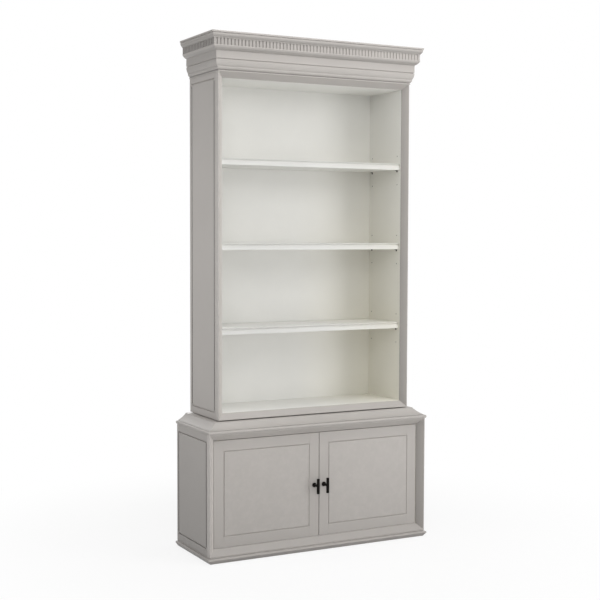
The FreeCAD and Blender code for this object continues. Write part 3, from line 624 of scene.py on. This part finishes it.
def run_moulding(name, millimetres, half, front, foot, shades=()):
    """Left, front and right run of one moulding, from its outline and the height of its foot. Each
    shade is a pair of heights and an arris value, which holds between those heights."""
    outline, arris = soften(np.array(millimetres) * MM)
    for low, high, shade in shades:
        arris = np.where((outline[:, 1] > low * MM) & (outline[:, 1] < high * MM), shade, arris)
    outline = outline + np.array([0, foot])
    origins, sides = round_the_case(half, front)
    for run, ends in RUNS.items():
        node = "%s_%s" % (name, run)
        points = carry(outline, origins[list(ends)], sides[list(ends)], UP)
        closed_piece(node + "_run", points, arris - RUN_SHADE[run],
                     grey_paint, "carcass", [node])
    print(name, "outline points", len(outline))


print("back of the case at", round(BACK, 4))

# %% [markdown]
# ## Outlines of the mouldings
# A joiner keeps the outline of each moulding as a steel template. Here it is a list of corners and
# arcs, in millimetres, as the projection from the case and the height. The bed of the cornice is a
# bead, a swelling round, a fascia and a flat round under the dentils; the cap is a flat round, a
# quirk and a fillet. A quirk is the narrow groove that parts two mouldings with a line of shadow.

# %% Mouldings
SHALLOW = 0.1


def upright(across, up):
    """Bulge of an arc that ends upright, from its run and its rise."""
    return math.tan(math.atan2(across, up) / 2) / 2


bed = [(0, 0), (3, 0), (3, 4), (0.5, 4)] + bow((0.5, 7), (7.5, 22), -QUARTER)
bed += bow((9, 22), (16, 48), -upright(7, 26)) + [(12.5, 48), (12.5, 51), (16, 51)]
bed += bow((16, 83.5), (34, 101), -SHALLOW) + [(34, 103.5), (0, 103.5)]
cap = [(0, 0), (35, 0)] + bow((35, 3), (43.5, 17.5), -SHALLOW)
cap += [(43.5, 20.5), (41.5, 20.5), (41.5, 22), (46, 22), (46, 29), (0, 29)]
surbase = [(-28, 0), (-28, 19), (-47, 19), (-47, 45), (-40, 45)]
surbase += bow((-40, 43), (-3, 15.5), -QUARTER / 4) + [(-6, 15.5), (-6, 14)]
surbase += bow((-1, 14), (6, 7.5), upright(7, 6.5)) + bow((6, 7.5), (0, 0), upright(6, 7.5))[1:]
plinth = [(-40, 0), (-3, 0)] + bow((9, 16.5), (1.5, 23), -upright(7.5, 6.5))
plinth += [(-1, 23), (-1, 25.5), (0, 25.5), (0, 28), (-40, 28)]
upper_corner, base_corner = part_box("upper_frame_left")[0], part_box("base_frame_left")[0]
UPPER_HALF, UPPER_FRONT = -upper_corner.x, upper_corner.y
BASE_HALF, BASE_FRONT = -base_corner.x, base_corner.y
run_moulding("cornice_bed", bed, UPPER_HALF, UPPER_FRONT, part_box("cornice_bed_front")[0].z,
             [(3.9, 8.0, DEEP_SHADE), (83.4, 94.0, SOFT_SHADE)])
run_moulding("cornice_cap", cap, UPPER_HALF, UPPER_FRONT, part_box("cornice_cap_front")[0].z,
             [(-1.0, 12.4, SOFT_SHADE)])
run_moulding("surbase", surbase, BASE_HALF, BASE_FRONT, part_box("surbase_front")[0].z)
run_moulding("plinth", plinth, BASE_HALF, BASE_FRONT, 0.0, [(-1.0, 16.2, DEEP_SHADE)])

# %% [markdown]
# ## Dentils
# Under the cap runs a strip of small square teeth. On the bench it is one strip with saw cuts
# across it, so it is one outline seen from above, a comb, raised by the height of the strip. The
# comb's corners come from one array: the start of every cut, with the four corners of the cut
# added to it. Painted shade darkens the side strips and the left end of the front one, most of it
# in the cuts.

# %% Dentil strips
DENTIL_REACH = 33 * MM
DENTIL_CUT = 3.4 * MM
DENTIL_TOOTH = 10 * MM
DENTIL_STEP = 16 * MM
DENTIL_SOFT = 0.7 * MM
# painted shade on the teeth and in the cuts: value at the left end, value where it fades out
TOOTH_SHADE = {"front": (0.6, 0.0), "left": (1.3, 1.3), "right": (1.3, 1.3)}
CUT_SHADE = {"front": (1.7, 0.0), "left": (2.0, 2.0), "right": (2.0, 2.0)}
SHADE_FADES_AT = 0.25

dentil_low, dentil_high = (corner.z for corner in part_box("cornice_dentils_front"))
outer_half, outer_front = UPPER_HALF + DENTIL_REACH, UPPER_FRONT - DENTIL_REACH


def comb(length):
    """Outer edge of a dentil strip as (along, cut depth): every cut adds its four corners, and the
    teeth stay between."""
    count = round(length / DENTIL_STEP)
    step = (length - DENTIL_TOOTH) / (count - 1)
    start = DENTIL_TOOTH + step * np.arange(count - 1)
    width = step - DENTIL_TOOTH
    along = start[:, None] + np.array([0, 0, width, width])
    depth = np.broadcast_to([0, DENTIL_CUT, DENTIL_CUT, 0], along.shape)
    return np.column_stack([along.ravel(), depth.ravel()]), count


def dentil_strip(run, plan):
    """Strip raised from its plan outline, with painted shade on the teeth and in the cuts. The shade
    goes from its value at the left end to the one at the place where it fades out."""
    outline, arris = soften(plan, DENTIL_SOFT)
    way_in = np.minimum(outer_half - np.abs(outline[:, 0]), outline[:, 1] - outer_front)
    in_cut = (way_in > DENTIL_SOFT) & (way_in < DENTIL_CUT + DENTIL_SOFT)
    cut_shade, tooth_shade = (np.interp(outline[:, 0], (-outer_half, SHADE_FADES_AT), shade_ends[run])
                            for shade_ends in (CUT_SHADE, TOOTH_SHADE))
    arris = np.where(in_cut, -cut_shade, arris - tooth_shade)
    points = np.stack([np.column_stack([outline, np.full(len(outline), z)])
                       for z in (dentil_low, dentil_high)])
    node = "cornice_dentils_" + run
    closed_piece(node + "_strip", points, arris, grey_paint, "carcass", [node])


teeth, tooth_count = comb(2 * outer_half)
front_edge = np.column_stack([teeth[:, 0] - outer_half, outer_front + teeth[:, 1]])
dentil_strip("front", np.vstack([
    [(-outer_half, outer_front)], front_edge, [(outer_half, outer_front)],
    [(UPPER_HALF, UPPER_FRONT), (-UPPER_HALF, UPPER_FRONT)]]))
side_teeth, side_count = comb(BACK - outer_front)
for side, sign in (("left", -1), ("right", 1)):
    edge = np.column_stack([sign * (outer_half - side_teeth[:, 1]), outer_front + side_teeth[:, 0]])
    dentil_strip(side, np.vstack([
        [(sign * outer_half, outer_front)], edge, [(sign * outer_half, BACK)],
        [(sign * UPPER_HALF, BACK), (sign * UPPER_HALF, UPPER_FRONT)]]))
print("teeth in front", tooth_count, "and on each side", side_count)

# %% [markdown]
# ## Bevelled frames
# A frame with a wide bevel closes the front of each case, mitred at all four corners like a
# picture frame. Its outline has two numbers: the way in from the outer edge and the way forward
# from the boards behind. At each corner of the rectangle the way in points along the diagonal,
# which gives the mitre. Painted shade darkens the inner edge at the top and at the right; at the
# left a painted highlight makes it lighter.

# %% Frames of the upper case and the base
FRAME_LAND = 3.0
FRAME_EDGE = 2.0
FORWARD = (0, -1, 0)
MEMBERS = {"bottom": (0, 1), "right": (1, 2), "top": (2, 3), "left": (3, 0)}
# painted shade on the top and right members, painted highlight on the left
EDGE_LIGHT_AND_SHADE = {"bottom": 0.0, "right": -1.4, "top": -0.4, "left": 3.6}
LIGHT_AND_SHADE_SPREAD = 0.4


def bevelled_frame(name):
    """Four mitred members round one opening, sized from the frame's own nodes."""
    low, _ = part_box(name + "_left")
    inner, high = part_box(name + "_right")
    wall, depth = (high.x - inner.x) / MM, (high.y - low.y) / MM
    corners = [(0, 0), (0, depth), (FRAME_LAND, depth), (wall, FRAME_EDGE), (wall, 0)]
    outline, arris = soften(np.array(corners) * MM)
    inner_edge = outline[:, 0] > (wall - FRAME_LAND) * MM
    origins = np.array([(low.x, high.y, low.z), (high.x, high.y, low.z),
                        (high.x, high.y, high.z), (low.x, high.y, high.z)])
    sides = np.array([(1, 0, 1), (-1, 0, 1), (-1, 0, -1), (1, 0, -1)])
    for member, ends in MEMBERS.items():
        points = carry(outline, origins[list(ends)], sides[list(ends)], FORWARD)
        shade = np.where(inner_edge, EDGE_LIGHT_AND_SHADE[member], arris + LIGHT_AND_SHADE_SPREAD * EDGE_LIGHT_AND_SHADE[member])
        node = "%s_%s" % (name, member)
        closed_piece(node + "_member", points, shade, grey_paint, "carcass", [node])
    print(name, "members", round(wall), "mm wide and", round(depth), "mm deep")


bevelled_frame("upper_frame")
bevelled_frame("base_frame")

# %% [markdown]
# ## Shelves
# The front edge of each shelf is moulded: a thin fillet on top, a small cove under it, then a flat
# band. The outline of the whole shelf, seen from its end, is carried from one end to the other.
# Its ends are square, because they stop just short of the sides. The front edge carries painted
# shade, a little darker than the board.

# %% Moulded shelves
FILLET = 2.0
COVE_HIGH, COVE_DEEP = 9.0, 6.0
BAND_IN = 1.0
SHELF_SOFT = 0.8 * MM
# painted shade along the front edge of each shelf
SHADED_EDGE, EDGE_SHADE = 8.0, -0.7

for node in ("shelf_1", "shelf_2", "shelf_3"):
    low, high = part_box(node)
    front, top = (high.y - low.y) / MM, (high.z - low.z) / MM
    cove_foot = top - FILLET - COVE_HIGH
    nosing = [(0, 0), (front - BAND_IN, 0), (front - BAND_IN, cove_foot)]
    nosing += bow((front - COVE_DEEP, cove_foot), (front, top - FILLET), QUARTER)
    nosing += [(front, top), (0, top)]
    outline, arris = soften(np.array(nosing) * MM, SHELF_SOFT)
    arris = np.where(outline[:, 0] > (front - SHADED_EDGE) * MM, EDGE_SHADE, arris)
    ends = [(low.x, high.y, low.z), (high.x, high.y, low.z)]
    points = carry(outline, ends, [FORWARD, FORWARD], UP)
    closed_piece(node + "_board", points, arris, white_paint, node, [node])
    print(node, "length", round(high.x - low.x, 3))

# %% [markdown]
# ## Doors
# Each inset door is a frame of two stiles and two rails with a panel flush in it. Chamfers on the
# frame and on the panel meet as a fine V joint. A stile is its outline, seen from the end, carried
# upwards; its chamfer runs only beside the panel and dies out at the rails, so the outline changes
# from station to station.

# %% Door frames
CHAMFER = 2.5 * MM
LEAST_CHAMFER = 0.5 * MM
DOOR_SOFT = 0.7 * MM
RIGHTWARD = (1, 0, 0)
STILES = {"left_door": ("left_door_stile_hinge", "left_door_stile_meeting"),
          "right_door": ("right_door_stile_meeting", "right_door_stile_hinge")}


def bar_outline(width, depth, chamfer):
    """Outline of a stile or rail as (across, forward), with its chamfer at the far front corner."""
    corners = [(0, 0), (width, 0), (width, depth - chamfer), (width - chamfer, depth), (0, depth)]
    return soften(corners, DOOR_SOFT)


def door_bar(node, body, origin, across, along, width, depth, lengths, chamfers):
    """Stile or rail: an outline at each length along the bar, each with its own chamfer."""
    outlines = [bar_outline(width, depth, chamfer) for chamfer in chamfers]
    origins = np.asarray(origin, float) + np.outer(lengths, along)
    points = carry([outline for outline, _ in outlines], origins, [across] * len(lengths), FORWARD)
    closed_piece(node + "_bar", points, outlines[0][1], grey_paint, body, [node])


for body, (left_stile, right_stile) in STILES.items():
    opening_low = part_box(body + "_rail_bottom")[1].z
    opening_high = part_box(body + "_rail_top")[0].z
    for node, toward in ((left_stile, 1), (right_stile, -1)):
        low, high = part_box(node)
        origin = (low.x if toward > 0 else high.x, high.y, 0)
        lengths = [low.z, opening_low - CHAMFER, opening_low,
                   opening_high, opening_high + CHAMFER, high.z]
        chamfers = [LEAST_CHAMFER, LEAST_CHAMFER, CHAMFER, CHAMFER, LEAST_CHAMFER, LEAST_CHAMFER]
        door_bar(node, body, origin, (toward, 0, 0), UP, high.x - low.x, high.y - low.y,
                 lengths, chamfers)
    rail_ends = [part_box(left_stile)[1].x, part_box(right_stile)[0].x]
    for rail, toward in (("_rail_bottom", 1), ("_rail_top", -1)):
        low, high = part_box(body + rail)
        origin = (0, high.y, low.z if toward > 0 else high.z)
        door_bar(body + rail, body, origin, (0, 0, toward), RIGHTWARD,
                 high.z - low.z, high.y - low.y, rail_ends, [CHAMFER, CHAMFER])
    print(body, "opening", round(opening_high - opening_low, 3), "high")

# %% [markdown]
# ## Door panels
# A panel sits in the grooves of its frame by a thin tongue, so that the wood can move. It is made
# as a nest of rectangles: the back, the tongue, the chamfer and the face, each a step further in
# and forward. The chamfer and the face are handled more than the tongue, so they show a little
# wear.

# %% Flush panels
PANEL_STEPS = np.array([(0, 0), (0, 6), (8.6, 6), (8.6, 12.5),
                        (8.8, 12.8), (10.8, 14.8), (11.1, 15)]) * MM
PANEL_ARRIS = np.array([0, 0, 0, 0.4, 0.4, 0.4, 0.4])[:, None]


def nested_rectangles(low, high, steps):
    """Grid of rectangle corners: each step is (way in from the edge, way forward from the back)."""
    x = np.array([low.x, high.x, high.x, low.x])
    z = np.array([low.z, low.z, high.z, high.z])
    inward_x, inward_z = np.array([1, -1, -1, 1]), np.array([1, 1, -1, -1])
    inset, forward = np.asarray(steps, float).T
    return np.stack([x + inset[:, None] * inward_x, np.repeat(high.y - forward[:, None], 4, 1),
                     z + inset[:, None] * inward_z], -1)


for body in ("left_door", "right_door"):
    low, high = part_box(body + "_panel")
    closed_piece(body + "_flush_panel", nested_rectangles(low, high, PANEL_STEPS), PANEL_ARRIS,
                 grey_paint, body, [body + "_panel"])
    print(body, "panel", round(high.x - low.x, 3), "wide")

# %% [markdown]
# ## Knobs
# Each knob is a round rose on the door, a stem, and an upright bar across its end. Turned work is
# an outline spun round an axis: radius and height on one parameter, the angle on the other. The
# bar is turned the same way, and its ends are eased. An outline begins and ends at a tiny radius,
# which a flat cap closes.

# %% Turned knobs
TURN_STEPS = 48
KNOB_ROSE_R, KNOB_ROSE_T, KNOB_STEM_R, KNOB_BAR_R = 10.0, 4.0, 5.4, 6.5
KNOB_BAR_IN = 5.5
KNOB_EASE, EASE_POINTS = 1.6, 6
POLE_R = 0.05


def turned(outline, centre, axis, across):
    """Grid of a spun outline:
    point(k, a) = centre + height_k * axis + radius_k * (cos a across + sin a side)."""
    axis, across = np.asarray(axis, float), np.asarray(across, float)
    side = np.cross(axis, across)
    angle = np.linspace(0, 2 * np.pi, TURN_STEPS, endpoint=False)
    ring = np.cos(angle)[:, None] * across + np.sin(angle)[:, None] * side
    radius, height = np.asarray(outline, float).T
    return np.asarray(centre, float) + height[:, None, None] * axis + radius[:, None, None] * ring


rose = [(POLE_R, 0), (KNOB_ROSE_R, 0)]
rose += bow((KNOB_ROSE_R, KNOB_ROSE_T - KNOB_EASE), (KNOB_ROSE_R - KNOB_EASE, KNOB_ROSE_T),
            -QUARTER, EASE_POINTS)
rose += bow((KNOB_STEM_R + KNOB_EASE, KNOB_ROSE_T), (KNOB_STEM_R, KNOB_ROSE_T + KNOB_EASE),
            QUARTER, EASE_POINTS)
for body in ("left_door", "right_door"):
    low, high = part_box(body + "_knob")
    centre_x, centre_z = (low.x + high.x) / 2, (low.z + high.z) / 2
    reach = (high.y - low.y) / MM - KNOB_BAR_IN
    half_bar = (high.z - low.z) / 2 / MM
    stem = rose + [(KNOB_STEM_R, reach), (POLE_R, reach)]
    stem_points = turned(np.array(stem) * MM, (centre_x, high.y, centre_z), FORWARD, RIGHTWARD)
    easing = bow((KNOB_BAR_R, half_bar - KNOB_EASE), (KNOB_BAR_R - KNOB_EASE, half_bar),
                 -QUARTER, EASE_POINTS)
    upper_half = np.array(easing + [(POLE_R, half_bar)])
    bar = np.vstack([upper_half[::-1] * [1, -1], upper_half])
    bar_points = turned(bar * MM, (centre_x, high.y - reach * MM, centre_z), UP, RIGHTWARD)
    closed_piece(body + "_knob_stem", stem_points, 0.0,
                 black_iron, body, [body + "_knob"])
    closed_piece(body + "_knob_bar", bar_points, 0.0, black_iron, body)
    print(body, "knob reach", round(reach, 1), "mm")
